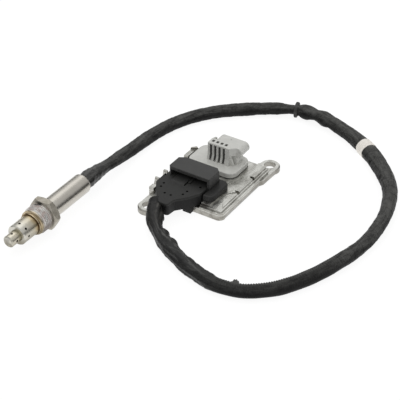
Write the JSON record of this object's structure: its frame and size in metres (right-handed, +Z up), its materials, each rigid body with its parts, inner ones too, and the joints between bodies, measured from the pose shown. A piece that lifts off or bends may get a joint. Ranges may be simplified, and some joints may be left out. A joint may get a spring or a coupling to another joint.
{
  "type": "nitrogen oxide sensor",
  "caption": "Exhaust nitrogen oxide sensor: steel probe with a union nut, taped cable, plug and a die-cast control unit with an oval vehicle connector.",
  "frame": {"origin": "midway between the control unit's two fixing holes, on its underside", "axes": "+Z up from the underside, +Y towards the vehicle connector, +X across the control unit, away from the probe; the probe's tip points along -Y"},
  "size_m": [0.2161, 0.2664, 0.027],
  "materials": {
    "diecast_aluminium": "as cast, satin, lightly stained",
    "sheet_aluminium": "rolled sheet, satin",
    "black_sealant": "matt",
    "board_laminate": "solder mask, satin",
    "chip_resin": "moulded resin, matt",
    "capacitor_can": "drawn can",
    "grey_plastic": "moulded, fine texture",
    "black_plastic": "moulded, fine texture",
    "tinned_pins": "tin plated",
    "collar_steel": "turned, heat tinted",
    "nut_steel": "turned, thread coated with paste",
    "tinted_steel": "drawn tube, straw heat tint",
    "satin_steel": "drawn tube, satin",
    "white_ceramic": "sintered, matt",
    "pressed_talc": "pressed powder",
    "grommet_rubber": "matt",
    "cable_tape": "wound tape, matt",
    "white_tape": "tape, satin",
    "tie_plastic": "moulded"
  },
  "bodies": {
    "sensor": {"diecast_housing": "diecast_aluminium", "bottom_plate": "sheet_aluminium", "bottom_gasket": "black_sealant", "vehicle_connector_seal": "black_sealant", "sensor_header_seal": "black_sealant", "circuit_board": "board_laminate", "processor": "chip_resin", "heater_driver": "chip_resin", "signal_amplifier": "chip_resin", "filter_capacitor": "capacitor_can", "vehicle_connector": "grey_plastic", "sensor_header": "black_plastic", "plug_body": "black_plastic", "plug_cover": "black_plastic", "probe_shell": "collar_steel", "outer_protection_tube": "tinted_steel", "inner_protection_tube": "tinted_steel", "outer_sleeve": "satin_steel", "front_ceramic": "white_ceramic", "talc_seal": "pressed_talc", "rear_ceramic": "white_ceramic", "contact_holder": "white_ceramic", "sensing_element": "white_ceramic", "cable_grommet": "grommet_rubber", "cable": "cable_tape", "white_tape_band": "white_tape", "cable_tie": "tie_plastic", "header_pin_1": "tinned_pins", "header_pin_2": "tinned_pins", "header_pin_3": "tinned_pins", "header_pin_4": "tinned_pins", "header_pin_5": "tinned_pins", "header_pin_6": "tinned_pins", "header_pin_7": "tinned_pins", "header_pin_8": "tinned_pins", "vehicle_pin_1": "tinned_pins", "vehicle_pin_2": "tinned_pins", "vehicle_pin_3": "tinned_pins", "vehicle_pin_4": "tinned_pins", "vehicle_pin_5": "tinned_pins"},
    "nut": {"swivel_nut": "nut_steel"}
  },
  "joints": [
    {"name": "nut_spin", "type": "hinge", "parent": "sensor", "child": "nut", "pos_m": [-0.0725, -0.1037, 0.011], "axis": [0, 1, 0], "continuous": true}
  ]
}
